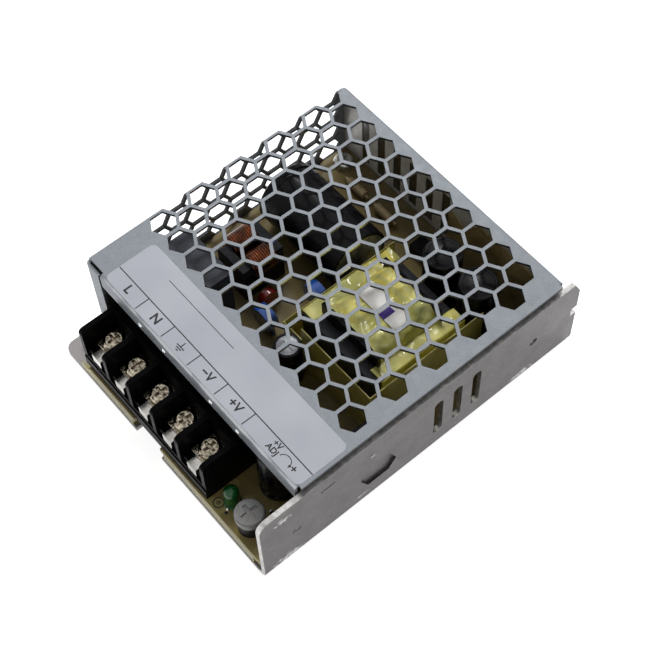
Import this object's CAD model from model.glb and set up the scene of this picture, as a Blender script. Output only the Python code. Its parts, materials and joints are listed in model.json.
# %% [markdown]
# # Dressing an enclosed power supply
# The solids of the supply come from its CAD model. This lesson gives them their looks: a punched and
# folded steel cover, a raw aluminium base, a printed film label, a screw terminal block, and the parts
# that show through the honeycomb. Each piece stays at its CAD place, in metres, with its object at the
# origin.

# %% Tools and the fixed frame
import json
import math

import bmesh
import bpy
from mathutils import Matrix, Vector, noise


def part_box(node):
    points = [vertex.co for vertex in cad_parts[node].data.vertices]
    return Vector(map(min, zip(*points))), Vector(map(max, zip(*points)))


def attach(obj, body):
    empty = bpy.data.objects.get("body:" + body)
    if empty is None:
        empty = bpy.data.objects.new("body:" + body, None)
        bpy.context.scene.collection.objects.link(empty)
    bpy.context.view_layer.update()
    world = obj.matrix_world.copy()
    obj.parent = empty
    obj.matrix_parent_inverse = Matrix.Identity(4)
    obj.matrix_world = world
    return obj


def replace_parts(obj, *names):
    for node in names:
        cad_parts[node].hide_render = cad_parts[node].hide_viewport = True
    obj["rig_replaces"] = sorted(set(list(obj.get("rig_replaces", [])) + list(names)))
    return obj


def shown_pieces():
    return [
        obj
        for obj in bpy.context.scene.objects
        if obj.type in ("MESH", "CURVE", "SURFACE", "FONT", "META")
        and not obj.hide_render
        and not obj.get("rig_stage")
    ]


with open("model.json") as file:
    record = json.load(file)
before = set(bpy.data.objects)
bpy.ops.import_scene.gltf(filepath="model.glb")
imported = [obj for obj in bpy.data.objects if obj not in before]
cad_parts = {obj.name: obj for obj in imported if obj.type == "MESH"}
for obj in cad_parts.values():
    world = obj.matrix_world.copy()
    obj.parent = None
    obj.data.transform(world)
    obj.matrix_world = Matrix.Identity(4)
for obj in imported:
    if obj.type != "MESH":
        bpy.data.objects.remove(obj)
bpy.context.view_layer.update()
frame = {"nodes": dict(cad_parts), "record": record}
MM = 0.001


# %% [markdown]
# A node tree is the same thing for a material and for Geometry Nodes, so one small helper adds a node
# to either: its settings are attributes, and each socket gets a number or a link. Colours are written
# as the sRGB hex values that a picture shows, and one function turns them to linear light.

# %% Helpers for nodes and colours
def linear(hex_colour):
    """Linear colour with alpha from an sRGB hex value."""
    parts = [int(hex_colour[start:start + 2], 16) / 255 for start in (0, 2, 4)]
    return tuple(p / 12.92 if p <= 0.04045 else ((p + 0.055) / 1.055) ** 2.4 for p in parts) + (1.0,)


def add(tree, kind, settings=None, sockets=None):
    """Adds a node with its settings, values and links."""
    node = tree.nodes.new(kind)
    for name, value in (settings or {}).items():
        setattr(node, name, value)
    for name, value in (sockets or {}).items():
        if isinstance(value, bpy.types.NodeSocket):
            tree.links.new(value, node.inputs[name])
        else:
            node.inputs[name].default_value = value
    return node


# %% [markdown]
# The camera stands in front of the terminals, to the right and well above, at the photograph's angle.
# Its place and its aim are lengths in the object's own frame, and the roll is a small turn of the
# hands that held it.

# %% Camera
CAMERA_SPOT = Vector((157.1, -116.8, 334.7)) * MM
CAMERA_AIM = Vector((4.23, -0.18, 15.0)) * MM
CAMERA_ROLL = math.radians(3.055)
CAMERA_LENS = 84.26

camera_data = bpy.data.cameras.new("camera")
camera_data.lens = CAMERA_LENS
camera_data.clip_start = 0.01
camera = bpy.data.objects.new("camera", camera_data)
bpy.context.scene.collection.objects.link(camera)
camera.rotation_mode = "QUATERNION"
camera.location = CAMERA_SPOT
aim = (CAMERA_AIM - CAMERA_SPOT).to_track_quat("-Z", "Y")
camera.rotation_quaternion = aim @ Matrix.Rotation(-CAMERA_ROLL, 3, "Z").to_quaternion()
bpy.context.scene.camera = camera
print("camera stands", round((CAMERA_SPOT - CAMERA_AIM).length, 3), "m away")


# %% [markdown]
# The light is a plain studio: a large soft lamp above at the left, a weaker one at the front right, and
# an even grey room. The large lamp stays out of reflections, so the sheet metal keeps an even tone, and
# a small lamp behind it gives the glints.

# %% Lamps
# Each lamp's place and width are in metres, and its power is in watts.
LAMPS = {
    "key_lamp": ((-0.6, 0.35, 0.9), 0.45, 9.5),
    "fill_lamp": ((0.75, -0.45, 0.55), 0.6, 0.5),
    "glint_lamp": ((-0.45, 0.45, 0.8), 0.1, 1.0),
}

for name, (spot, width, power) in LAMPS.items():
    lamp = bpy.data.lights.new(name, "AREA")
    lamp.shape = "DISK"
    lamp.size = width
    lamp.energy = power
    holder = bpy.data.objects.new(name, lamp)
    bpy.context.scene.collection.objects.link(holder)
    holder.location = spot
    holder.rotation_mode = "QUATERNION"
    holder.rotation_quaternion = (CAMERA_AIM - Vector(spot)).to_track_quat("-Z", "Y")
    holder.visible_glossy = name != "key_lamp"
print("lamps:", len(LAMPS))


# %% [markdown]
# The room is white to the camera, in reflections and through clear film, and a dim even grey to every
# other ray, which is what lights the shadows. The floor glows in the same way, and its pale paint adds
# to that wherever no shadow falls.

# %% Room and floor
ROOM_LEVEL = 0.22
FLOOR_HALF = 2.0
FLOOR_DROP = 0.0002
FLOOR_GLOW = 0.85


def background_rays(tree):
    """One for rays that look at the background: straight, in a reflection or through film."""
    ray = add(tree, "ShaderNodeLightPath")
    share = ray.outputs["Is Camera Ray"]
    for kind in ("Is Glossy Ray", "Is Transmission Ray"):
        larger = add(tree, "ShaderNodeMath", {"operation": "MAXIMUM"}, {0: share, 1: ray.outputs[kind]})
        share = larger.outputs[0]
    return share


world = bpy.data.worlds.new("studio")
bpy.context.scene.world = world
world.use_nodes = True
tree = world.node_tree
tree.nodes.clear()
level = add(tree, "ShaderNodeMapRange", {}, {
    "Value": background_rays(tree), "To Min": ROOM_LEVEL, "To Max": 1.0})
room = add(tree, "ShaderNodeBackground", {}, {
    "Color": (1.0, 1.0, 1.0, 1.0), "Strength": level.outputs["Result"]})
add(tree, "ShaderNodeOutputWorld", {}, {"Surface": room.outputs["Background"]})

floor_mesh = bpy.data.meshes.new("floor")
floor_mesh.from_pydata(
    [(FLOOR_HALF * x, FLOOR_HALF * y, 0) for x, y in ((-1, -1), (1, -1), (1, 1), (-1, 1))],
    [], [(0, 1, 2, 3)])
floor = bpy.data.objects.new("floor", floor_mesh)
floor.location.z = -FLOOR_DROP
bpy.context.scene.collection.objects.link(floor)
floor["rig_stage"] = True
floor_paint = bpy.data.materials.new("pale_floor")
floor_paint.use_nodes = True
tree = floor_paint.node_tree
tree.nodes.clear()
glow = add(tree, "ShaderNodeMath", {"operation": "MULTIPLY"}, {0: background_rays(tree), 1: FLOOR_GLOW})
white = add(tree, "ShaderNodeEmission", {}, {"Color": (1, 1, 1, 1), "Strength": glow.outputs[0]})
paint = add(tree, "ShaderNodeBsdfDiffuse", {}, {"Color": linear("e0e0e0")})
both = add(tree, "ShaderNodeAddShader", {}, {0: white.outputs[0], 1: paint.outputs[0]})
add(tree, "ShaderNodeOutputMaterial", {}, {"Surface": both.outputs[0]})
floor_mesh.materials.append(floor_paint)
print("room level", ROOM_LEVEL, "and a floor", 2 * FLOOR_HALF, "m wide")


# %% [markdown]
# ## The finishes
# Most finishes here are one shader with a mottled colour, a mottled roughness and a fine bump. The
# grain sizes are real sizes in millimetres, and Object coordinates are metres, so a pattern's scale is
# one over its grain in metres. A finish starts with its coordinates and ends with its shader.

# %% The general finish
# A Mix node for colours takes the two at these inputs, and gives the result at this output.
MIX_UNDER, MIX_OVER, MIX_RESULT = 6, 7, 2
PLAIN_BUMP = 0.35


def new_finish(name):
    """An empty material, its tree and the piece's own coordinates."""
    made = bpy.data.materials.new(name)
    made.use_nodes = True
    made.node_tree.nodes.clear()
    return made, made.node_tree, add(made.node_tree, "ShaderNodeTexCoord").outputs["Object"]


def end_finish(made, sockets, height, strength, depth_mm):
    """The material with its shader: a value or a link for each socket, and a bump from a height."""
    tree = made.node_tree
    bump = add(tree, "ShaderNodeBump", {}, {
        "Height": height, "Strength": strength, "Distance": depth_mm * MM})
    surface = add(tree, "ShaderNodeBsdfPrincipled", {}, {**sockets, "Normal": bump.outputs["Normal"]})
    add(tree, "ShaderNodeOutputMaterial", {}, {"Surface": surface.outputs["BSDF"]})
    return made


def mottle(tree, place, grain_mm, low=0.0, high=1.0, detail=3.0, spread=(0.3, 0.7)):
    """Noise of a real grain size, mapped to a range of values."""
    grain = add(tree, "ShaderNodeTexNoise", {}, {
        "Vector": place, "Scale": 1 / (grain_mm * MM), "Detail": detail})
    return add(tree, "ShaderNodeMapRange", {}, {
        "Value": grain.outputs["Fac"], "From Min": spread[0], "From Max": spread[1],
        "To Min": low, "To Max": high}).outputs["Result"]


def layered(tree, tone, *layers):
    """A colour with others laid over it, each by a share; a colour is a hex value or a socket."""
    for share, over in layers:
        under, over = (linear(one) if isinstance(one, str) else one for one in (tone, over))
        tone = add(tree, "ShaderNodeMix", {"data_type": "RGBA"}, {
            "Factor": share, MIX_UNDER: under, MIX_OVER: over}).outputs[MIX_RESULT]
    return tone


def plain_finish(name, dark, light, grain_mm, rough, sockets=None, bump_mm=0.02, bump_grain_mm=0.6):
    """A mottled finish; values that are the same all over go on the shader's own sockets."""
    made, tree, place = new_finish(name)
    return end_finish(made, {
        "Base Color": layered(tree, dark, (mottle(tree, place, grain_mm), light)),
        "Roughness": mottle(tree, place, grain_mm * 0.6, *rough), **(sockets or {})},
        mottle(tree, place, bump_grain_mm), PLAIN_BUMP, bump_mm)


# %% [markdown]
# **Galvanised steel** is zinc on cold rolled sheet. The zinc gives a soft, even grey with a faint
# spangle of small crystals, and a dull sheen rather than a mirror. Along the front bend it is worn
# bright.
#
# **Raw aluminium** sheet keeps the marks of the brake and of handling: a pebbled shine, and a few rubs
# where the wall's corners were held. The flat rim at its foot faces up and is paler.

# %% Metals of the case
SPANGLE = 1.6
# Centre and reach of each mark, in millimetres across, along and up.
WORN_BEND = ((2.0, -37.35, 29.7), (60.0, 0.5, 0.7))
RUB_MARKS = [((41, -42.9, 23.4), (9, 2.3, 1.1)), ((41, -42.5, 3.1), (9, 4.4, 1.3)),
             ((41, 32.0, 3.4), (9, 4.2, 1.1)), ((41, -20.0, 4.6), (9, 2.4, 0.4))]


def mark(tree, place, centre, reach, ragged_mm=1.2):
    """One inside a ragged spot on a face, fading to zero outside; lengths in millimetres."""
    scale = tuple(1 / (length * MM) for length in reach)
    offset = tuple(-c * MM * s for c, s in zip(centre, scale))
    moved = add(tree, "ShaderNodeMapping", {}, {"Vector": place, "Location": offset, "Scale": scale})
    far = add(tree, "ShaderNodeVectorMath", {"operation": "LENGTH"}, {0: moved.outputs[0]})
    ragged = mottle(tree, place, ragged_mm, 0.0, 1.2, detail=4.0)
    edge = add(tree, "ShaderNodeMath", {"operation": "ADD"}, {0: far.outputs["Value"], 1: ragged})
    return add(tree, "ShaderNodeMapRange", {}, {
        "Value": edge.outputs[0], "From Min": 0.9, "From Max": 1.5, "To Min": 1.0,
        "To Max": 0.0}).outputs["Result"]


def galvanised_steel():
    """An even dull grey with a faint spangle, worn bright along the front bend."""
    made, tree, place = new_finish("galvanised_steel")
    spangle = add(tree, "ShaderNodeTexVoronoi", {}, {"Vector": place, "Scale": 1 / (SPANGLE * MM)})
    crystal = add(tree, "ShaderNodeSeparateColor", {}, {"Color": spangle.outputs["Color"]})
    share = add(tree, "ShaderNodeMath", {"operation": "MULTIPLY_ADD"}, {
        0: crystal.outputs[0], 1: 0.3, 2: mottle(tree, place, 0.5, 0.0, 0.6, detail=4.0)})
    worn = mark(tree, place, *WORN_BEND, ragged_mm=7.0)
    return end_finish(made, {
        "Base Color": layered(tree, "82878d", (share.outputs[0], "94999f"), (worn, "ccd0d4")),
        "Roughness": mottle(tree, place, 3.0, 0.44, 0.54), "Metallic": 0.4},
        mottle(tree, place, 0.35), 0.25, 0.006)


def raw_aluminium():
    """A darker pebbled grey, paler on the rim at the wall's foot, with bright rubs."""
    made, tree, place = new_finish("raw_aluminium")
    cloud = mottle(tree, place, 6.0, detail=2.0)
    pebble = mottle(tree, place, 0.7)
    height = add(tree, "ShaderNodeSeparateXYZ", {}, {"Vector": place}).outputs["Z"]
    rim = add(tree, "ShaderNodeMapRange", {}, {
        "Value": height, "From Min": 2.0 * MM, "From Max": 1.4 * MM}).outputs["Result"]
    rubs = [(mark(tree, place, centre, reach), "e0dedc") for centre, reach in RUB_MARKS]
    level = add(tree, "ShaderNodeMapRange", {}, {"Value": pebble, "To Min": 0.38, "To Max": 0.5})
    return end_finish(made, {
        "Base Color": layered(tree, "636060", (cloud, "726e6e"), (rim, "9a9696"), *rubs),
        "Roughness": level.outputs["Result"], "Metallic": 0.45}, pebble, 0.5, 0.03)


# %% [markdown]
# The board, the clear film and the winding's tape have patterns of their own, so each has its own
# function. The film is the only finish that lets light through.

# %% Board, film and tape
def board_laminate():
    """Tan paper laminate with the soft shadow of copper tracks; darker under the cover with baked flux."""
    made, tree, place = new_finish("board_laminate")
    fibre = mottle(tree, place, 1.2, detail=5.0)
    tracks = mottle(tree, place, 6.0, detail=0.0, spread=(0.49, 0.52))
    along = add(tree, "ShaderNodeSeparateXYZ", {}, {"Vector": place}).outputs["Y"]
    inside = add(tree, "ShaderNodeMapRange", {}, {
        "Value": along, "From Min": -39.0 * MM, "From Max": -33.0 * MM}).outputs["Result"]
    tone = layered(tree, "a8985c", (fibre, "bcad70"), (tracks, "998850"), (inside, "6a5c34"))
    return end_finish(made, {"Base Color": tone, "Roughness": 0.42}, fibre, 0.2, 0.01)


def insulation_film():
    """Clear polyester sheet that has yellowed: thin, glossy and a little see-through."""
    made, tree, place = new_finish("insulation_film")
    cloud = mottle(tree, place, 9.0)
    return end_finish(made, {
        "Base Color": layered(tree, "b9ae58", (cloud, "d6cf86")), "Roughness": 0.3,
        "Transmission Weight": 0.5, "IOR": 1.3}, cloud, 0.3, 0.3)


def winding_tape():
    """Layers of yellow polyester tape: glossy, with the edges of each wrap and some crumple."""
    made, tree, place = new_finish("winding_tape")
    wraps = add(tree, "ShaderNodeTexWave", {"wave_type": "BANDS", "bands_direction": "Y"}, {
        "Vector": place, "Scale": 1 / (9.0 * MM), "Distortion": 3.0, "Detail": 2.0})
    crumple = mottle(tree, place, 8.0, detail=1.0)
    warmth = mottle(tree, place, 13.0, detail=0.0)
    tone = layered(tree, "97994c", (crumple, "d8d27e"))
    wrapped = layered(tree, tone, (warmth, "d2be46"), (wraps.outputs["Fac"], tone))
    return end_finish(made, {"Base Color": wrapped, "Roughness": 0.24, "Coat Weight": 0.3},
                      crumple, 0.8, 0.8)


# %% [markdown]
# The other finishes are rows of one table. A row holds the dark and the light tone, the grain in
# millimetres, and the lowest and highest roughness. Then comes what differs from the plain case: the
# shader's own sockets, and the depth and the grain of the bump, in millimetres.

# %% Table of plain finishes
METAL = {"Metallic": 1.0}
PLAIN = {
    # Matt polyester label, printed a cool pale grey: even, with hardly any texture.
    "label_film": ("aeb1ba", "babcc5", 14.0, (0.34, 0.42), {}, 0.01),
    # Uncoated paper: warm white and dull.
    "strip_paper": ("d8d6d2", "e6e4e0", 3.0, (0.5, 0.6)),
    # Screen printing ink: near black, a little duller than the film round it.
    "label_ink": ("141417", "1c1c20", 1.0, (0.45, 0.55)),
    # Stamp ink on the paper strip: a deep violet.
    "violet_ink": ("2a1060", "3a1a78", 1.0, (0.45, 0.55)),
    # Zinc plated steel of pillars and small screws: pale grey metal with a soft shine.
    "zinc_steel": ("a8a8a2", "c6c6c0", 1.5, (0.28, 0.4), METAL),
    # Moulded black plastic of the terminal block: very dark, with a fine spark-eroded texture.
    "terminal_plastic": ("040405", "09090b", 3.0, (0.3, 0.42), {"Specular IOR Level": 0.025}, 0.012, 0.25),
    # Tinned brass of the contact plates: bright, with a faint wave from rolling.
    "tinned_brass": ("a4a19c", "d0cdc8", 2.6, (0.14, 0.26), METAL, 0.03, 1.6),
    # Nickel plated steel of the terminal screws: mirror bright in patches and near black between.
    "nickel_steel": ("12100c", "c8bda8", 0.8, (0.08, 0.2), METAL, 0.14, 0.8),
    # Brown insulation behind the rear slots: dark and glossy.
    "brown_film": ("2e2718", "4a4028", 3.0, (0.25, 0.4)),
    # Torn steel on the walls of the punched holes: dark and rough.
    "cut_edge": ("232527", "3e4144", 0.5, (0.5, 0.6), {"Metallic": 0.3}),
    # Steel that the punch rubbed, and the tops of the dimples: nearly white.
    "bright_rim": ("d0d5da", "eceff2", 0.6, (0.2, 0.3), METAL),
    # Sheared aluminium edge: pale, with the coarse marks of the shear.
    "sheared_edge": ("989695", "d0cecc", 1.6, (0.3, 0.42), {"Metallic": 0.9}, 0.04),
    # Yellow brown sheet by the rear wall: cloudy and glossy.
    "rear_film": ("8a7446", "c4ae78", 7.0, (0.16, 0.26), {"IOR": 1.3}),
    # Zinc inside the rear wall: pale, because no hand has dulled it.
    "inner_zinc": ("d4d2cc", "f0eee8", 4.0, (0.36, 0.46), {"Metallic": 0.25}),
    # Tinted clear epoxy of the indicator lamp, unlit: a deep wet green.
    "green_lens": ("074a1a", "0f6428", 2.0, (0.12, 0.2),
                   {"Specular IOR Level": 0.35, "Subsurface Weight": 0.2, "Subsurface Scale": 0.001}),
    # Moulded black base of the trimmer: matt.
    "trimmer_black": ("08080a", "101012", 2.0, (0.4, 0.5), {"Specular IOR Level": 0.12}),
    # Grey nylon rotor of the trimmer: waxy, with light inside its edges.
    "trimmer_grey": ("7b7b7a", "8b8b89", 1.2, (0.38, 0.52),
                     {"Subsurface Weight": 0.4, "Subsurface Scale": 0.002}),
    # Moulded black plastic of bobbins and holders.
    "black_plastic": ("070709", "0e0e11", 2.5, (0.36, 0.5), {"Specular IOR Level": 0.08}),
    # Blue epoxy dip of the safety discs: smooth, with a clear wet coat.
    "blue_coating": ("143f8c", "1d55ad", 1.5, (0.16, 0.26), {"Coat Weight": 0.5}),
    # Dark green dip of the thermistor: dull and faintly grainy.
    "dark_coating": ("1c2a22", "26382e", 1.5, (0.3, 0.4)),
    # Red epoxy dip of the varistor: glossy.
    "red_coating": ("6e1414", "8a1e1a", 1.2, (0.2, 0.3), {"Coat Weight": 0.4}),
    # Moulded case of the film capacitor: slate grey and matt.
    "grey_case": ("35373d", "41434a", 2.5, (0.4, 0.5), {"Specular IOR Level": 0.25}),
    # Pressed and fired ferrite: charcoal, dry and fine grained.
    "ferrite": ("141518", "232428", 0.8, (0.45, 0.6), {"Specular IOR Level": 0.2}),
    # Enamelled copper wire: amber where it catches light and nearly black in the shade.
    "copper_wire": ("120805", "8a4a26", 3.4, (0.14, 0.26), {"Metallic": 0.9, "Coat Weight": 0.3}),
    # Shrunk black sleeve of the capacitors: smooth with a low shine.
    "can_sleeve": ("07070a", "0e0e12", 3.0, (0.2, 0.32), {"Specular IOR Level": 0.14}),
    # Drawn aluminium of a capacitor's end: mid grey with a soft shine.
    "can_end": ("6c6e72", "a6a8ac", 1.6, (0.3, 0.42), {"Metallic": 0.85}),
    # Lacquered body of a resistor: tan and dull.
    "resistor_body": ("8a7a5a", "a08e6a", 1.0, (0.4, 0.5)),
    # Filled silicone of the heat pads: flat grey like putty.
    "grey_pad": ("6c6e70", "7c7e80", 1.2, (0.55, 0.65)),
    # Tin solder: bright, with small bumps.
    "solder": ("b4b4b0", "d0d0cc", 0.6, (0.2, 0.32), METAL),
}
FINISH = {"galvanised_steel": galvanised_steel(), "raw_aluminium": raw_aluminium(),
          "board_laminate": board_laminate(), "clear_film": insulation_film(), "yellow_tape": winding_tape(),
          **{name: plain_finish(name, *row) for name, row in PLAIN.items()}}
print("finishes:", len(FINISH))


# %% [markdown]
# ## The tools for shapes
# Every solid gets softened edges, because even a crisp metal edge has a tiny round that catches light.
# A CAD node's own mesh is never touched. A merged copy gets a Bevel modifier, the result becomes a plain
# mesh, and the copy then stands for the node.

# %% Helpers for meshes
# The usual softened edge: its width in millimetres and the number of its faces.
FINE_EDGE = (0.08, 1)
SLOT_OF = {part["node"]: part["material_slot"] for part in frame["record"]["subparts"]}
BODY_OF = {node: body for body, group in frame["record"]["behaviour"]["bodies"].items() for node in group}


def mesh_of(shape, name):
    """A plain mesh from a bmesh, which is freed."""
    mesh = bpy.data.meshes.new(name)
    shape.to_mesh(mesh)
    shape.free()
    return mesh


def evaluated(mesh, setup):
    """A plain mesh from a mesh with modifiers; setup adds them to a helper object."""
    helper = bpy.data.objects.new("helper", mesh)
    bpy.context.scene.collection.objects.link(helper)
    setup(helper)
    graph = bpy.context.evaluated_depsgraph_get()
    made = bpy.data.meshes.new_from_object(helper.evaluated_get(graph))
    bpy.data.objects.remove(helper)
    return made


def smooth(mesh, angle=35):
    """The mesh shaded smooth, but sharp where it turns by more than the angle in degrees."""
    mesh.shade_smooth()
    mesh.set_sharp_from_angle(angle=math.radians(angle))
    return mesh


def softened(mesh, width_mm, segments):
    """The mesh with its sharp edges rounded and its flat faces kept flat to the eye."""
    def setup(helper):
        bevel = helper.modifiers.new("bevel", "BEVEL")
        bevel.width = width_mm * MM
        bevel.segments = segments
        bevel.limit_method = "ANGLE"
        bevel.angle_limit = math.radians(30)
        bevel.use_clamp_overlap = True
        weighted = helper.modifiers.new("weighted", "WEIGHTED_NORMAL")
        weighted.keep_sharp = True
    return evaluated(smooth(mesh, 60), setup)


def merged_copy(node):
    """A copy of a CAD node's mesh with its corners joined and its flat faces whole."""
    shape = bmesh.new()
    shape.from_mesh(frame["nodes"][node].data)
    bmesh.ops.remove_doubles(shape, verts=shape.verts, dist=0.000001)
    bmesh.ops.dissolve_limit(shape, angle_limit=math.radians(1.5), verts=shape.verts, edges=shape.edges)
    return mesh_of(shape, node)


# %% [markdown]
# A finished mesh becomes a piece in one place: it gets its object, rides on its body, takes its slot,
# and hides the CAD node that it stands for.

# %% Helpers for pieces
def keep(name, mesh, body, finish=None, replaced=()):
    """Makes the finished piece from a mesh; without a finish the mesh keeps its own."""
    piece = bpy.data.objects.new(name, mesh)
    bpy.context.scene.collection.objects.link(piece)
    if finish:
        mesh.materials.clear()
        mesh.materials.append(FINISH[finish])
    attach(piece, body)
    if replaced:
        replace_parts(piece, *replaced)


def stand_in(node, mesh, finish=None):
    """Keeps a mesh as the look of one CAD node."""
    keep(f"{node}_look", mesh, BODY_OF[node], finish, (node,))


def dressed(node, width_mm, segments, finish=None):
    """Keeps a CAD node's own shape, with softened edges and its finish."""
    stand_in(node, softened(merged_copy(node), width_mm, segments), finish or SLOT_OF[node])


def span(node):
    """Lowest and highest corner of a node, in millimetres."""
    return [Vector(corner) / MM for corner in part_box(node)]


# %% [markdown]
# Turned parts, such as cans and the board's printed ring, come from a half section that is spun round
# an axis. The section is a list of radius and height pairs in millimetres. Spinning can turn the faces
# inside out, so the doubles are merged first and the normals are then made to point outwards. Other
# forms are rows of corners with faces between them, or boxes.

# %% Helpers for forms
def placement(direction, spot):
    """Lays an upright shape along an axis and moves it; spot is in millimetres."""
    turn = {"up": Matrix.Identity(4), "across": Matrix.Rotation(math.pi / 2, 4, "Y")}[direction]
    return Matrix.Translation(Vector(spot) * MM) @ turn


def lathe(section, steps, direction, spot):
    """A closed turned mesh; spot is in millimetres."""
    shape = bmesh.new()
    verts = [shape.verts.new((radius * MM, 0, height * MM)) for radius, height in section]
    edges = [shape.edges.new((a, b)) for a, b in zip(verts, verts[1:])]
    bmesh.ops.spin(shape, geom=verts + edges, axis=(0, 0, 1), cent=(0, 0, 0),
                   angle=math.tau, steps=steps, use_duplicate=False)
    bmesh.ops.remove_doubles(shape, verts=shape.verts, dist=0.000002)
    bmesh.ops.recalc_face_normals(shape, faces=shape.faces)
    shape.transform(placement(direction, spot))
    return mesh_of(shape, "turned")


def bridge(shape, rows, ring=False):
    """Four-sided faces between rows of corners; with ring, each row also closes on itself."""
    if ring:
        rows = [row + row[:1] for row in rows]
    for one, two in zip(rows, rows[1:]):
        for corners in zip(one, one[1:], two[1:], two):
            shape.faces.new(corners)


def box_mesh(low, high):
    """A box between two corners in millimetres."""
    shape = bmesh.new()
    bmesh.ops.create_cube(shape, size=1.0)
    low, high = Vector(low) * MM, Vector(high) * MM
    shape.transform(Matrix.Translation((low + high) / 2) @ Matrix.Diagonal((*(high - low), 1)))
    return mesh_of(shape, "box")


def point_mesh(name, points, edges=()):
    """A mesh of points in millimetres, and edges between them."""
    mesh = bpy.data.meshes.new(name)
    mesh.from_pydata([Vector(point) * MM for point in points], edges, [])
    return mesh


# %% [markdown]
# A piece may have several finishes. Meshes that are joined bring one finish each, and a mesh that is
# already whole has a finish chosen for each of its faces.

# %% Helpers for several finishes
def join_meshes(parts):
    """One mesh from (mesh, finish name) pairs, each with its own material slot."""
    shape = bmesh.new()
    names = list(dict.fromkeys(finish for mesh, finish in parts))
    for mesh, finish in parts:
        first = len(shape.faces)
        shape.from_mesh(mesh)
        shape.faces.ensure_lookup_table()
        for face in shape.faces[first:]:
            face.material_index = names.index(finish)
    made = mesh_of(shape, "joined")
    for name in names:
        made.materials.append(FINISH[name])
    return made


def painted(mesh, names, choose):
    """Gives each face one of the named finishes; choose gets its middle in millimetres and its normal."""
    mesh.materials.clear()
    for name in names:
        mesh.materials.append(FINISH[name])
    for face in mesh.polygons:
        face.material_index = names.index(choose(face.center / MM, face.normal))


# %% [markdown]
# A Geometry Nodes tree is built here with named inputs. Its modifier is given values by each socket's
# identifier before the object is first evaluated. The result is taken as a plain mesh.

# %% Helpers for Geometry Nodes
def new_tree(name, inputs):
    """A tree with a geometry output, and inputs given by name and kind."""
    tree = bpy.data.node_groups.new(name, "GeometryNodeTree")
    tree.interface.new_socket("Geometry", in_out="OUTPUT", socket_type="NodeSocketGeometry")
    for label, kind in inputs.items():
        tree.interface.new_socket(label, in_out="INPUT", socket_type=f"NodeSocket{kind}")
    return tree, add(tree, "NodeGroupInput").outputs


def end_tree(tree, geometry, material):
    """Realises the instances and sets the material, as the tree's last two steps."""
    real = add(tree, "GeometryNodeRealizeInstances", {}, {"Geometry": geometry})
    painted = add(tree, "GeometryNodeSetMaterial", {}, {"Geometry": real.outputs[0], "Material": material})
    add(tree, "NodeGroupOutput", {}, {"Geometry": painted.outputs[0]})


def grown(tree, values, mesh):
    """The plain mesh that a tree makes of a mesh with these values."""
    def setup(helper):
        modifier = helper.modifiers.new("nodes", "NODES")
        modifier.node_group = tree
        for item in tree.interface.items_tree:
            if item.in_out == "INPUT" and item.name in values:
                modifier[item.identifier] = values[item.name]
    return evaluated(mesh, setup)


# %% [markdown]
# ## The cover
# The real cover is one steel sheet, punched flat and then folded. Here the sheet is drawn as a thin
# surface with true bends, thickened with Solidify, and punched by a Geometry Nodes tree: two grids of
# points carry six-sided punches, and a Mesh Boolean takes them out of the sheet. The same tree punches
# the top and the left wall, with another start and another turn.

# %% The folded sheet
SHEET = 0.8
TOP = 30.0
BEND = 1.2
LEFT, RIGHT = -41.0, 40.3
FRONT, REAR = -37.65, 44.7
WALL_LOW = 1.4
REAR_LOW = 3.0
LIP_LOW, LIP_LEFT, LIP_RIGHT = 25.0, -34.6, 39.1
FLANGE_RIGHT, FLANGE_LOW, FLANGE_HIGH = -35.6, 6.6, 28.5
BEND_STEPS = 6


def arc():
    """Points of a quarter bend: how far out, and how far down, in millimetres."""
    angles = [math.pi / 2 * step / BEND_STEPS for step in range(BEND_STEPS + 1)]
    return [(BEND * math.sin(angle), BEND * (1 - math.cos(angle))) for angle in angles]


def sheet_surface():
    """The outer face of the folded cover, as strips that share their edges."""
    shape = bmesh.new()

    def strip(rows):
        bridge(shape, [[shape.verts.new(Vector(point) * MM) for point in row] for row in rows])

    front, rear, left, bend_low = FRONT + BEND, REAR - BEND, LEFT + BEND, TOP - BEND
    across = [left, LIP_LEFT, LIP_RIGHT, RIGHT]
    levels = [bend_low, FLANGE_HIGH, FLANGE_LOW, REAR_LOW, WALL_LOW]
    strip([[(x, y, TOP) for x in across] for y in (front, rear)])
    strip([[(left - out, y, TOP - down) for out, down in arc()] for y in (front, rear)])
    strip([[(LEFT, y, level) for level in levels] for y in (front, rear)])
    strip([[(LEFT, y, level) for level in levels[:4]] for y in (rear, REAR)])
    strip([[(x, front - out, TOP - down) for x in across[1:3]] for out, down in arc()]
          + [[(x, FRONT, LIP_LOW) for x in across[1:3]]])
    strip([[(x, rear + out, TOP - down) for x in across[:3]] for out, down in arc()])
    strip([[(x, REAR, level) for x in [LEFT] + across[:3]] for level in levels[:4]])
    turned_in = [(LEFT, front)] + [(LEFT + BEND - out, FRONT + down) for out, down in reversed(arc()[:-1])]
    strip([[(x, y, level) for level in levels[1:3]] for x, y in turned_in + [(FLANGE_RIGHT, FRONT)]])
    bmesh.ops.remove_doubles(shape, verts=shape.verts, dist=0.00002)
    bmesh.ops.recalc_face_normals(shape, faces=shape.faces)
    if sum(face.normal.z * face.calc_area() for face in shape.faces) < 0:
        bmesh.ops.reverse_faces(shape, faces=shape.faces)
    return mesh_of(shape, "cover_sheet")


def thicken(helper):
    solid = helper.modifiers.new("solid", "SOLIDIFY")
    solid.thickness = SHEET * MM
    solid.offset = -1.0
    solid.use_even_offset = True


cover_mesh = evaluated(sheet_surface(), thicken)
print("cover sheet:", len(cover_mesh.polygons), "faces")


# %% The honeycomb punch
HEX_PITCH = 7.1
HEX_FLATS = 6.2
ROW_PITCH = HEX_PITCH * math.sqrt(3) / 2
HEX_ROWS = 5
TOP_COLUMNS = 11
PUNCH_DEPTH = 2.4
FIRST_ACROSS, FIRST_ALONG = 34.3, -16.89
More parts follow.
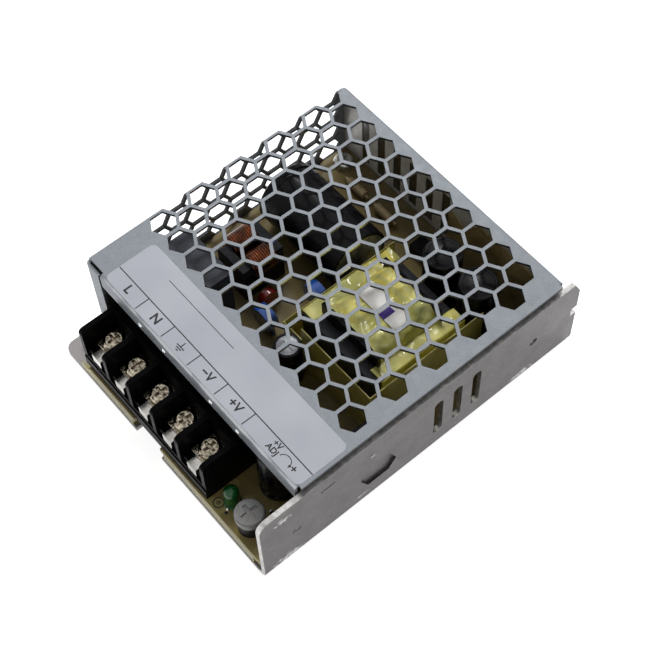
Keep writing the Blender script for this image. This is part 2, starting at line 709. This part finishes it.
# The lattice runs on down the left wall, but the bend takes up this much of it.
BEND_LOSS = 1.14
FIRST_WALL = TOP - (TOP_COLUMNS * HEX_PITCH - FIRST_ACROSS + LEFT + BEND_LOSS)


def end_punch(tree, given, tools):
    """Takes the punches out of the sheet, as the last steps of a punching tree."""
    solid = add(tree, "GeometryNodeRealizeInstances", {}, {"Geometry": tools})
    cut = add(tree, "GeometryNodeMeshBoolean", {"operation": "DIFFERENCE", "solver": "EXACT"}, {
        "Mesh 1": given["Sheet"], "Mesh 2": solid.outputs[0]})
    end_tree(tree, cut.outputs[0], given["Material"])
    return tree


def honeycomb_tree():
    """Two grids of six-sided punches, one half a pitch over from the other, taken out of a sheet."""
    tree, given = new_tree("honeycomb_punch", {
        "Sheet": "Geometry", "Radius": "Float", "Depth": "Float", "Rows": "Int", "Row Step": "Vector",
        "Column Step": "Vector", "Odd Columns": "Int", "Even Columns": "Int", "Even Start": "Vector",
        "Start": "Vector", "Turn": "Vector", "Material": "Material"})
    points = add(tree, "GeometryNodeJoinGeometry")
    for columns, start in ((given["Odd Columns"], (0, 0, 0)),
                           (given["Even Columns"], given["Even Start"])):
        rows = add(tree, "GeometryNodeMeshLine", {}, {
            "Count": given["Rows"], "Start Location": start, "Offset": given["Row Step"]})
        line = add(tree, "GeometryNodeMeshLine", {}, {"Count": columns, "Offset": given["Column Step"]})
        net = add(tree, "GeometryNodeInstanceOnPoints", {}, {
            "Points": rows.outputs[0], "Instance": line.outputs[0]})
        grid = add(tree, "GeometryNodeRealizeInstances", {}, {"Geometry": net.outputs[0]})
        tree.links.new(grid.outputs[0], points.inputs[0])
    tool = add(tree, "GeometryNodeMeshCylinder", {"fill_type": "NGON"}, {
        "Vertices": 6, "Radius": given["Radius"], "Depth": given["Depth"]})
    upright = add(tree, "GeometryNodeTransform", {}, {
        "Geometry": tool.outputs[0], "Rotation": (0, 0, math.radians(30))})
    placed = add(tree, "GeometryNodeInstanceOnPoints", {}, {
        "Points": points.outputs[0], "Instance": upright.outputs[0]})
    turned = add(tree, "GeometryNodeTransform", {}, {
        "Geometry": placed.outputs[0], "Translation": given["Start"], "Rotation": given["Turn"]})
    return end_punch(tree, given, turned.outputs[0])


honeycomb = honeycomb_tree()
common = {"Radius": HEX_FLATS / math.sqrt(3) * MM, "Depth": PUNCH_DEPTH * MM, "Rows": HEX_ROWS,
          "Row Step": Vector((0, 2 * ROW_PITCH, 0)) * MM, "Column Step": Vector((-HEX_PITCH, 0, 0)) * MM,
          "Material": FINISH["galvanised_steel"]}
cover_mesh = grown(honeycomb, {
    **common, "Odd Columns": TOP_COLUMNS, "Even Columns": TOP_COLUMNS,
    "Even Start": Vector((-HEX_PITCH / 2, ROW_PITCH, 0)) * MM,
    "Start": Vector((FIRST_ACROSS, FIRST_ALONG, TOP)) * MM, "Turn": (0.0, 0.0, 0.0)}, cover_mesh)
cover_mesh = grown(honeycomb, {
    **common, "Odd Columns": 3, "Even Columns": 4,
    "Even Start": Vector((HEX_PITCH / 2, ROW_PITCH, 0)) * MM,
    "Start": Vector((LEFT, FIRST_ALONG, FIRST_WALL)) * MM,
    "Turn": (0.0, -math.pi / 2, 0.0)}, cover_mesh)
print("punched cover:", len(cover_mesh.polygons), "faces")


# %% [markdown]
# The rear wall has six upright slots. They are a line of box punches, a smaller tree of the same kind.

# %% Rear slots
VENT_COUNT = 6
VENT_FIRST, VENT_PITCH, VENT_WIDE = -0.6, 6.2, 2.8
VENT_LOW, VENT_HIGH = 7.0, 24.0
VENT_DEPTH = 4.0


def slot_tree():
    """A line of box punches, taken out of a sheet."""
    tree, given = new_tree("slot_punch", {
        "Sheet": "Geometry", "Count": "Int", "Step": "Vector", "Size": "Vector", "Start": "Vector",
        "Material": "Material"})
    line = add(tree, "GeometryNodeMeshLine", {}, {
        "Count": given["Count"], "Start Location": given["Start"], "Offset": given["Step"]})
    tool = add(tree, "GeometryNodeMeshCube", {}, {"Size": given["Size"]})
    placed = add(tree, "GeometryNodeInstanceOnPoints", {}, {
        "Points": line.outputs[0], "Instance": tool.outputs[0]})
    return end_punch(tree, given, placed.outputs[0])


cover_mesh = grown(slot_tree(), {
    "Count": VENT_COUNT, "Step": Vector((-VENT_PITCH, 0, 0)) * MM,
    "Size": Vector((VENT_WIDE, VENT_DEPTH, VENT_HIGH - VENT_LOW)) * MM,
    "Start": Vector((VENT_FIRST, REAR, (VENT_LOW + VENT_HIGH) / 2)) * MM,
    "Material": FINISH["galvanised_steel"]}, cover_mesh)
print("slotted cover:", len(cover_mesh.polygons), "faces")


# %% [markdown]
# Punching leaves torn steel on the walls of each hole: bright where the punch rubbed on its left side,
# and dull elsewhere. The walls that face right get one finish and the others the darker one, which the
# sheared right edge has too. The rear wall's inner face is paler than its outside.

# %% Cut edges
COVER_FINISHES = ["galvanised_steel", "cut_edge", "bright_rim", "inner_zinc"]


def cover_finish(middle, normal):
    """The finish of a face of the cover."""
    across, along, up = middle
    in_top = up > TOP - SHEET - 0.05 and across > LEFT + BEND and abs(normal.z) < 0.3
    in_wall = across < LEFT + SHEET + 0.05 and abs(normal.x) < 0.3
    inside = FRONT + 5 < along < REAR - BEND and across < RIGHT - 0.3
    if (in_top or in_wall) and inside:
        return "bright_rim" if in_top and normal.x > 0.8 else "cut_edge"
    if across > RIGHT - 0.05 and normal.x > 0.8:
        return "cut_edge"
    if along > REAR - SHEET - 0.1 and normal.y < -0.8:
        return "inner_zinc"
    return "galvanised_steel"


painted(cover_mesh, COVER_FINISHES, cover_finish)
cover_mesh = softened(cover_mesh, *FINE_EDGE)
print("cover with soft edges:", len(cover_mesh.polygons), "faces")


# %% [markdown]
# Four small dimples are pressed outwards in the front lip. Each is a flattened dome on a point.

# %% Lip dimples
DIMPLES = [-18.8, -9.5, 8.4, 18.4]
DIMPLE_UP, DIMPLE_ROUND, DIMPLE_PROUD = 26.7, 0.75, 0.33


def dimple_tree():
    """A flattened dome on each point of the seed mesh."""
    tree, given = new_tree("dimples", {
        "Points": "Geometry", "Round": "Float", "Scale": "Vector", "Material": "Material"})
    dome = add(tree, "GeometryNodeMeshUVSphere", {}, {"Segments": 20, "Rings": 10, "Radius": given["Round"]})
    placed = add(tree, "GeometryNodeInstanceOnPoints", {}, {
        "Points": given["Points"], "Instance": dome.outputs[0], "Scale": given["Scale"]})
    end_tree(tree, placed.outputs[0], given["Material"])
    return tree


seed = point_mesh("dimple_points", [(across, FRONT, DIMPLE_UP) for across in DIMPLES])
domes = smooth(grown(dimple_tree(), {
    "Round": DIMPLE_ROUND * MM, "Scale": (1.0, DIMPLE_PROUD / DIMPLE_ROUND, 1.0),
    "Material": FINISH["bright_rim"]}, seed))
whole = bmesh.new()
whole.from_mesh(cover_mesh)
first = len(whole.faces)
whole.from_mesh(domes)
whole.faces.ensure_lookup_table()
for face in whole.faces[first:]:
    face.material_index = COVER_FINISHES.index("bright_rim")
whole.to_mesh(cover_mesh)
whole.free()
keep("cover_look", cover_mesh, "root", None, ("mesh_cover",))
print("cover:", len(cover_mesh.polygons), "faces")


# %% [markdown]
# ## The base
# The base is a thick soft aluminium sheet, cut and folded once. The wall's edges and its front were
# sheared, so they are brighter than its faces.

# %% Base
WALL_INNER, BASE_FRONT = 39.4, -49.5
BASE_FINISHES = ["raw_aluminium", "sheared_edge"]


def base_finish(middle, normal):
    """The finish of a face of the base."""
    across, along, up = middle
    wall_edge = across > WALL_INNER and up > 3 and abs(normal.x) < 0.9
    front_edge = along < BASE_FRONT + 0.4 and across > WALL_INNER and abs(normal.y) > 0.3
    return "sheared_edge" if wall_edge or front_edge else "raw_aluminium"


base_mesh = softened(merged_copy("base_chassis"), 0.22, 2)
painted(base_mesh, BASE_FINISHES, base_finish)
stand_in("base_chassis", base_mesh)
print("base:", sum(face.material_index for face in base_mesh.polygons), "faces of sheared edge")


# %% [markdown]
# ## The terminal block and the board
# These keep their CAD shapes. Moulded plastic and stamped plates have rounder edges than the parts
# inside, and they stand in the light, so their softened edges are wider.

# %% Terminal block and board
# The width of each softened edge, in millimetres, and the number of its faces.
SOFT_EDGES = {"terminal_housing": (0.22, 3), "contact_plates": (0.16, 3),
              **{f"terminal_washer_{number}": (0.14, 2) for number in range(1, 6)},
              "circuit_board": (0.1, 1)}
for node, edge in SOFT_EDGES.items():
    dressed(node, *edge)
print("terminal block and board:", len(SOFT_EDGES), "pieces")


# %% [markdown]
# A terminal screw is cold headed and then rolled. The head keeps its CAD shape with softened edges. The
# shank is drawn in to the thread's root, and a Screw modifier winds one tooth of the thread round it.
# The thread shows when a screw is lifted.

# %% Terminal screws
THREAD_TOP, THREAD_LOW = 14.9, 8.9
THREAD_ROUND, THREAD_ROOT, THREAD_PITCH = 1.74, 1.5, 0.6
SCREW_ALONG = -42.5
POLES = [-25.05, -15.5, -5.95, 3.6, 13.15]


def thread(across):
    """One winding tooth, as long as the shank."""
    half = THREAD_PITCH * 0.5
    tooth = point_mesh("tooth", [(THREAD_ROOT, 0, -half), (THREAD_ROUND, 0, 0), (THREAD_ROOT, 0, half)],
                       [(0, 1), (1, 2)])

    def setup(helper):
        screw = helper.modifiers.new("wind", "SCREW")
        screw.axis = "Z"
        screw.screw_offset = THREAD_PITCH * MM
        screw.iterations = int((THREAD_TOP - THREAD_LOW) / THREAD_PITCH) - 1
        screw.steps = screw.render_steps = 20
        screw.use_merge_vertices = True
        screw.merge_threshold = 0.000005
    wound = evaluated(tooth, setup)
    wound.transform(Matrix.Translation(Vector((across, SCREW_ALONG, THREAD_LOW + THREAD_PITCH)) * MM))
    return smooth(wound)


def narrow_shank(mesh, across):
    """Draws the shank's side in to the thread's root."""
    for vert in mesh.vertices:
        off = Vector((vert.co.x - across * MM, vert.co.y - SCREW_ALONG * MM))
        if vert.co.z < THREAD_TOP * MM and off.length > THREAD_ROOT * MM:
            off = off.normalized() * THREAD_ROOT * MM
            vert.co.x, vert.co.y = across * MM + off.x, SCREW_ALONG * MM + off.y
    return mesh


for number, across in enumerate(POLES, start=1):
    node = f"terminal_screw_{number}"
    blank = softened(narrow_shank(merged_copy(node), across), 0.12, 2)
    stand_in(node, join_meshes([(part, SLOT_OF[node]) for part in (blank, thread(across))]))
print("terminal screws:", len(POLES))


# %% [markdown]
# ## The printed label
# The label is a polyester film with rounded corners. Its print marks each terminal, and nothing else:
# L and N for the mains, the earth sign, minus and plus V, and an arc with ADJ and +V for the trimmer.
# The letters are font curves made into meshes, and the rules are thin strips.

# %% Label helpers
FILM_LOW, FILM_TOP, PRINT_TOP = 30.0, 30.05, 30.062
BOLD = 0.028


def prism(points, low, high):
    """A closed flat piece from an outline in millimetres."""
    shape = bmesh.new()
    under, over = ([shape.verts.new(Vector((x, y, level)) * MM) for x, y in points]
                   for level in (low, high))
    shape.faces.new(under)
    shape.faces.new(over)
    bridge(shape, [under, over], ring=True)
    bmesh.ops.recalc_face_normals(shape, faces=shape.faces)
    return mesh_of(shape, "prism")


def rounded_outline(left, right, near, far, radius, steps):
    """Corner points of a rectangle with rounded corners."""
    points = []
    for x, y, start in ((right - radius, near + radius, -90), (right - radius, far - radius, 0),
                        (left + radius, far - radius, 90), (left + radius, near + radius, 180)):
        for step in range(steps + 1):
            angle = math.radians(start + 90 * step / steps)
            points.append((x + radius * math.cos(angle), y + radius * math.sin(angle)))
    return points


def stroke(one, two, wide):
    """A printed line between two points."""
    one, two = Vector(one), Vector(two)
    side = (two - one).normalized().orthogonal() * wide / 2
    return prism([one - side, two - side, two + side, one + side], FILM_TOP, PRINT_TOP)


def lettering(words, spot, size):
    """Printed letters, centred on a point."""
    curve = bpy.data.curves.new("words", "FONT")
    curve.body = words
    curve.size = size * MM
    curve.offset = BOLD * size * MM
    curve.align_x = "CENTER"
    curve.align_y = "CENTER"
    holder = bpy.data.objects.new("words", curve)
    bpy.context.scene.collection.objects.link(holder)
    graph = bpy.context.evaluated_depsgraph_get()
    mesh = bpy.data.meshes.new_from_object(holder.evaluated_get(graph))
    bpy.data.objects.remove(holder)
    mesh.transform(Matrix.Translation(Vector((*spot, PRINT_TOP)) * MM))
    return mesh


# %% Label
LABEL_LEFT, LABEL_RIGHT, LABEL_NEAR, LABEL_FAR = -33.5, 39.3, -37.0, -22.0
LABEL_CORNER = 1.6
RULE, THIN_RULE, ARC_RULE = 0.28, 0.18, 0.22
RULE_ALONG, CELL_NEAR = -32.5, -36.7
CELL_SIDES = [-21.45, -11.3, -1.2, 8.95, 19.1]
UNDERLINE = ((-22.4, -25.8), (2.4, -25.8))
MARK_ALONG = -34.75
# Words, their middle and their size, in millimetres.
WORDS = [("L", (-26.8, MARK_ALONG), 3.4), ("N", (-15.9, MARK_ALONG), 3.4),
         ("\u2212V", (4.0, MARK_ALONG), 3.2), ("+V", (14.4, MARK_ALONG), 3.2),
         ("+V", (28.5, -33.7), 2.1), ("ADJ", (28.5, -35.4), 2.1), ("+", (35.4, -34.9), 2.6)]
EARTH_ACROSS, EARTH_ALONG = -6.0, -34.9
EARTH_STEM, EARTH_STEP, EARTH_BARS = 1.5, 0.55, (1.3, 0.85, 0.4)
ARC_ACROSS, ARC_ALONG, ARC_WIDE, ARC_HIGH = 32.5, -35.0, 1.75, 1.35
ARROW = [(-0.4, 0.15), (0.4, 0.15), (0.0, -0.7)]

strokes = [((LABEL_LEFT + 0.1, RULE_ALONG), (LABEL_RIGHT - 0.1, RULE_ALONG), RULE),
           (*UNDERLINE, THIN_RULE)]
strokes += [((side, RULE_ALONG), (side, CELL_NEAR), RULE) for side in CELL_SIDES]
strokes.append(((EARTH_ACROSS, EARTH_ALONG + EARTH_STEM), (EARTH_ACROSS, EARTH_ALONG), RULE))
for step, half in enumerate(EARTH_BARS):
    level = EARTH_ALONG - EARTH_STEP * step
    strokes.append(((EARTH_ACROSS - half, level), (EARTH_ACROSS + half, level), RULE))
turns = [math.radians(angle) for angle in range(0, 181, 15)]
bow = [(ARC_ACROSS - ARC_WIDE * math.cos(turn), ARC_ALONG + ARC_HIGH * math.sin(turn)) for turn in turns]
strokes += [(one, two, ARC_RULE) for one, two in zip(bow, bow[1:])]
arrow = [(bow[-1][0] + across, bow[-1][1] + along) for across, along in ARROW]

marks = [stroke(*ends) for ends in strokes] + [lettering(*row) for row in WORDS]
marks.append(prism(arrow, FILM_TOP, PRINT_TOP))
outline = rounded_outline(LABEL_LEFT, LABEL_RIGHT, LABEL_NEAR, LABEL_FAR, LABEL_CORNER, 6)
film = softened(prism(outline, FILM_LOW, FILM_TOP), 0.012, 1)
stand_in("front_label", join_meshes([(film, "label_film")] + [(part, "label_ink") for part in marks]))
print("label:", len(marks), "printed marks")


# %% [markdown]
# ## Cans
# An electrolytic capacitor is an aluminium can in a shrunk plastic sleeve. The sleeve curls over the top
# edge, the can's foot is crimped inwards, and the bare top has a cross scored in it as a vent.

# %% Cans
CAN_LIP = 0.8
CAN_STEPS = 48
SCORE = 0.09


def can_meshes(radius, low, high, top_finish, direction, spot):
    """Sleeve, top and vent of one can."""
    opening = radius - CAN_LIP
    sleeve = lathe([(0, low), (radius - 0.35, low), (radius, low + 0.35), (radius, low + 1.5),
                    (radius - 0.4, low + 2.0), (radius - 0.4, low + 2.5), (radius, low + 3.0),
                    (radius, high - 0.5), (radius - 0.15, high - 0.13), (radius - 0.45, high),
                    (opening, high), (opening, high - 0.25), (0, high - 0.25)],
                   CAN_STEPS, direction, spot)
    top = lathe([(0, high - 0.25), (opening - 0.02, high - 0.25), (opening - 0.02, high - 0.14),
                 (opening - 0.2, high - 0.08), (0, high - 0.08)], CAN_STEPS, direction, spot)
    parts = [(smooth(sleeve), "can_sleeve"), (smooth(top), top_finish)]
    reach = radius * 0.5
    for one, two in ((reach, SCORE), (SCORE, reach)):
        score = box_mesh((-one, -two, high - 0.1), (one, two, high - 0.065))
        score.transform(placement(direction, spot))
        parts.append((score, "ferrite"))
    return parts


# Centres and radius in millimetres, and the finish of the top.
UPRIGHT_CANS = {"front_capacitor": ([(26.5, -33.0)], 5.0, "can_end"),
                "supply_capacitor": ([(5.1, -12.5)], 3.6, "can_end"),
                "output_capacitors": ([(12.5, 30.8), (24.5, 31.4)], 5.0, "can_sleeve")}
for node, (centres, radius, top_finish) in UPRIGHT_CANS.items():
    low, high = span(node)
    cans = [can_meshes(radius, low.z, high.z, top_finish, "up", (*spot, 0)) for spot in centres]
    stand_in(node, join_meshes(sum(cans, [])))
low, high = span("bulk_capacitor")
middle = (low + high) / 2
stand_in("bulk_capacitor", join_meshes(can_meshes(
    (high.z - low.z) / 2, low.x, high.x, "can_end", "across", (0, middle.y, middle.z))))
print("capacitors:", len(UPRIGHT_CANS) + 1, "pieces")


# %% [markdown]
# ## Coils
# Enamelled wire is wound in close turns. A Geometry Nodes tree draws one spiral, gives it the wire's
# round section, lays it on its axis and puts a copy on each point of the seed mesh.

# %% Coils
WIRE = 0.36
TURN_PITCH = 2.05 * WIRE


def coil_tree():
    """A coil of round wire on each point of the seed mesh."""
    tree, given = new_tree("coil", {
        "Points": "Geometry", "Round": "Float", "Wire": "Float", "Turns": "Float", "Long": "Float",
        "Turn": "Vector", "Material": "Material"})
    spiral = add(tree, "GeometryNodeCurveSpiral", {}, {
        "Resolution": 28, "Rotations": given["Turns"], "Start Radius": given["Round"],
        "End Radius": given["Round"], "Height": given["Long"]})
    section = add(tree, "GeometryNodeCurvePrimitiveCircle", {}, {"Resolution": 8, "Radius": given["Wire"]})
    wire = add(tree, "GeometryNodeCurveToMesh", {}, {
        "Curve": spiral.outputs[0], "Profile Curve": section.outputs[0], "Fill Caps": True})
    laid = add(tree, "GeometryNodeTransform", {}, {"Geometry": wire.outputs[0], "Rotation": given["Turn"]})
    placed = add(tree, "GeometryNodeInstanceOnPoints", {}, {
        "Points": given["Points"], "Instance": laid.outputs[0]})
    end_tree(tree, placed.outputs[0], given["Material"])
    return tree


def wound_coils(node, starts, radius, length, turn):
    """Keeps coils that begin at points in millimetres; turn lays their axis."""
    mesh = grown(coil_tree(), {
        "Round": (radius - WIRE) * MM, "Wire": WIRE * MM, "Turns": length / TURN_PITCH,
        "Long": (length - 2 * WIRE) * MM, "Turn": turn, "Material": FINISH["copper_wire"]},
        point_mesh("coil_starts", starts))
    stand_in(node, smooth(mesh, 60))
    print(node, "faces:", len(mesh.polygons))


low, high = span("choke_windings")
radius = (high.z - low.z) / 2
wound_coils("choke_windings",
            [(x, low.y + WIRE, (low.z + high.z) / 2) for x in (low.x + radius, high.x - radius)],
            radius, high.y - low.y, (-math.pi / 2, 0.0, 0.0))
low, high = span("output_choke_winding")
wound_coils("output_choke_winding", [((low.x + high.x) / 2, (low.y + high.y) / 2, low.z + WIRE)],
            (high.x - low.x) / 2, high.z - low.z, (0.0, 0.0, 0.0))


# %% [markdown]
# ## The transformer's winding
# Tape is pulled round the wire in many layers and never lies quite flat. The winding is a row of rounded
# rings, and each point is drawn in by a noise with sharp ridges, which makes creases. The paper strip on
# top follows the same section.

# %% Taped winding
WINDING_LOW, WINDING_HIGH = span("transformer_winding")
WINDING_ROUND = 5.0
CREASE = 0.7


def winding_outline(out=0.0, step_mm=0.5):
    """Points of the rounded section, as across and up, evenly spaced."""
    low, high = WINDING_LOW, WINDING_HIGH
    corners = rounded_outline(low.x - out, high.x + out, low.z - out, high.z + out, WINDING_ROUND, 12)
    points = []
    for one, two in zip(corners, corners[1:] + corners[:1]):
        one, two = Vector(one), Vector(two)
        count = max(1, round((two - one).length / step_mm))
        points += [one.lerp(two, step / count) for step in range(count)]
    return points


def crease(spot):
    """How far a point is drawn in: most in the valleys between ridges."""
    slow = noise.noise(Vector((spot.x * 0.30, spot.y * 0.22, spot.z * 0.30)))
    ridge = abs(noise.noise(Vector((spot.x * 0.5 + 7.0, spot.y * 0.35 + slow, spot.z * 0.5))))
    return CREASE * min(1.0, 0.35 * (slow + 0.6) + 1.3 * ridge)


def taped_mesh(section, near, far, depth, rings):
    """Creased tape round a section of across and up points, from near to far."""
    shape = bmesh.new()
    middle = sum(section, Vector((0.0, 0.0))) / len(section)
    loops = []
    for ring in range(rings):
        along = near + (far - near) * ring / (rings - 1)
        loop = []
        for point in section:
            outward = (point - middle).normalized()
            drawn = point - outward * depth * crease(Vector((point.x, along, point.y)))
            loop.append(shape.verts.new(Vector((drawn.x, along, drawn.y)) * MM))
        loops.append(loop)
    bridge(shape, loops, ring=True)
    shape.faces.new(loops[0])
    shape.faces.new(loops[-1])
    bmesh.ops.recalc_face_normals(shape, faces=shape.faces)
    return smooth(mesh_of(shape, "winding"), 60)


taped = [taped_mesh(winding_outline(), WINDING_LOW.y, WINDING_HIGH.y, 1.0, 38)]
core_low, core_high = span("transformer_core")
LEG_WIDE, LEG_LAP, LEG_FOOT, LEG_FAR = 4.2, 0.7, 0.4, 0.4
LEG_CREASE = 0.6
for left, right, inset in ((core_low.x - LEG_LAP, core_low.x + LEG_WIDE, 0.5),
                           (core_high.x - LEG_WIDE, core_high.x + LEG_LAP, 2.0)):
    around = rounded_outline(left, right, core_low.z + LEG_FOOT, core_high.z + LEG_LAP, 0.6, 5)
    taped.append(taped_mesh([Vector(point) for point in around], core_low.y + inset,
                            core_high.y + LEG_FAR, LEG_CREASE, 40))
stand_in("transformer_winding", join_meshes([(mesh, "yellow_tape") for mesh in taped]))
print("taped:", len(taped), "forms")


# %% Paper strip
VIOLET_LEFT, VIOLET_RIGHT = 13.3, 17.0


def strip_mesh(left, right, near, far, low_out, high_out):
    """A thin sheet over the winding's top, between two distances out from the section."""
    under, over = ([Vector((p.x, p.y)) for p in winding_outline(out) if p.y > WINDING_HIGH.z - 3.0]
                   for out in (low_out, high_out))
    under, over = (sorted((p for p in row if left <= p.x <= right), key=lambda p: p.x)
                   for row in (under, over))
    count = min(len(under), len(over))
    under, over = under[:count], over[:count]
    shape = bmesh.new()
    grid = [[shape.verts.new(Vector((p.x, y, p.y)) * MM) for p in row]
            for row, y in ((under, near), (over, near), (over, far), (under, far))]
    bridge(shape, grid + grid[:1])
    for end in (0, -1):
        shape.faces.new([row[end] for row in grid])
    bmesh.ops.recalc_face_normals(shape, faces=shape.faces)
    return smooth(mesh_of(shape, "strip"))


low, high = span("transformer_strip")
paper = strip_mesh(low.x - 2.0, high.x + 2.6, low.y, high.y + 0.7, -0.1, 0.08)
violet = strip_mesh(VIOLET_LEFT, VIOLET_RIGHT, low.y, high.y - 0.9, 0.05, 0.1)
stand_in("transformer_strip", join_meshes([(paper, "strip_paper"), (violet, "violet_ink")]))
print("paper strip:", len(paper.polygons), "faces")


# %% [markdown]
# ## Small things
# Brown insulation shows in the six rear slots, so a thin pane stands in each. On the board, next to the
# trimmer, there are printed rings, a spot of solder and a dark one, a chip resistor with its two ends,
# and a bent lead.

# %% Rear panes
PANE_HALF = 1.5
PANE_NEAR, PANE_FAR = 44.1, 44.4
PANE_LOW, PANE_HIGH = 6.6, 24.4
middles = [VENT_FIRST - VENT_PITCH * number for number in range(VENT_COUNT)]
panes = [box_mesh((middle - PANE_HALF, PANE_NEAR, PANE_LOW), (middle + PANE_HALF, PANE_FAR, PANE_HIGH))
         for middle in middles]
keep("rear_slot_panes", join_meshes([(softened(pane, 0.05, 1), "brown_film") for pane in panes]),
     "root")
print("rear panes:", len(panes))


# %% Board details
BOARD_TOP = 6.2
RING_SPOT = (21.05, -47.35)
PRINT_HIGH = 0.02
# Inner and outer radius of the printed rings.
RINGS = [(1.15, 1.45), (0.25, 0.5)]
# Place, radius, height and finish of the small domes.
DOMES = [((23.8, -46.8), 0.45, 0.45, "solder"), ((24.3, -47.6), 0.4, 0.3, "ferrite")]
# Across, along and height over the board, each from and to, then the soft edge and the finish.
BLOCKS = [((31.0, 32.6), (-39.9, -39.0), (0, 0.5), 0.05, "ferrite"),
          ((30.7, 31.0), (-39.9, -39.0), (0, 0.5), 0.05, "solder"),
          ((32.6, 32.9), (-39.9, -39.0), (0, 0.5), 0.05, "solder"),
          ((34.6, 35.2), (-41.2, -40.6), (0, 2.4), 0.12, "solder"),
          ((34.6, 36.6), (-41.2, -40.6), (1.9, 2.4), 0.12, "solder")]


def ring_mesh(inner, outer):
    """A flat printed ring round its spot."""
    top = BOARD_TOP + PRINT_HIGH
    section = [(inner, BOARD_TOP), (outer, BOARD_TOP), (outer, top), (inner, top), (inner, BOARD_TOP)]
    return lathe(section, 32, "up", (*RING_SPOT, 0))


def dome_mesh(spot, radius, high):
    """A low dome on the board."""
    angles = [math.pi / 2 * step / 6 for step in range(7)]
    section = [(radius * math.cos(angle), BOARD_TOP + high * math.sin(angle)) for angle in angles]
    return smooth(lathe([(0, BOARD_TOP)] + section, 20, "up", (*spot, 0)))


small = [(ring_mesh(*radii), "label_ink") for radii in RINGS]
small += [(dome_mesh(*dome), finish) for *dome, finish in DOMES]
for across, along, up, edge, finish in BLOCKS:
    low, high = ((across[end], along[end], BOARD_TOP + up[end]) for end in (0, 1))
    small.append((softened(box_mesh(low, high), edge, 2), finish))
keep("board_front_details", join_meshes(small), BODY_OF["circuit_board"])
print("board details:", len(small))


# %% [markdown]
# ## Everything else
# The insulation by the rear wall is browner than the wrap, and nothing shows through it. Each node that
# no piece stands for yet keeps its own shape and slot, with a fine soft edge.

# %% Remaining nodes
dressed("rear_insulation", *FINE_EDGE, "rear_film")
done = {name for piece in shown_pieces() for name in piece.get("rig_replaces", [])}
for node in sorted(frame["nodes"]):
    if node not in done:
        dressed(node, *FINE_EDGE)


# %% [markdown]
# ## Measuring
# The visual model has to stay inside the CAD model's box, so both boxes are written down.

# %% Sizes and the end
scene = bpy.context.scene
scene.view_settings.view_transform = "Standard"
